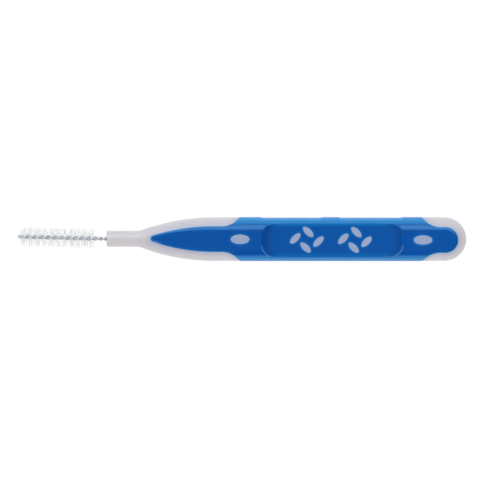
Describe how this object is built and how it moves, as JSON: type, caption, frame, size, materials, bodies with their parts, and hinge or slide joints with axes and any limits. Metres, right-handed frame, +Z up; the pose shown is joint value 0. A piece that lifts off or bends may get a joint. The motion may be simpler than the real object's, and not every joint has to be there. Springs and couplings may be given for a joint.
{
  "type": "interdental brush",
  "caption": "Straight interdental brush: a flat two-colour moulded grip with a slim neck, and a twisted wire carrying a round nylon brush.",
  "frame": {"origin": "middle of the underside's box, on the surface the handle lies on", "axes": "+X along the brush from the wire's tip towards the handle's butt, +Y across the handle, +Z up out of the top thumb pad"},
  "size_m": [0.072, 0.0071, 0.0045],
  "materials": {
    "core_plastic": "smooth moulded white",
    "grip_elastomer": "smooth satin blue elastomer",
    "brush_wire": "bright drawn stainless wire",
    "filament_nylon": "translucent nylon"
  },
  "bodies": {
    "root": {"handle_core": "core_plastic", "grip_sleeve": "grip_elastomer", "twisted_wire": "brush_wire", "bristle_row_01": "filament_nylon", "bristle_row_02": "filament_nylon", "bristle_row_03": "filament_nylon", "bristle_row_04": "filament_nylon", "bristle_row_05": "filament_nylon", "bristle_row_06": "filament_nylon", "bristle_row_07": "filament_nylon", "bristle_row_08": "filament_nylon", "bristle_row_09": "filament_nylon", "bristle_row_10": "filament_nylon", "bristle_row_11": "filament_nylon"}
  },
  "joints": []
}
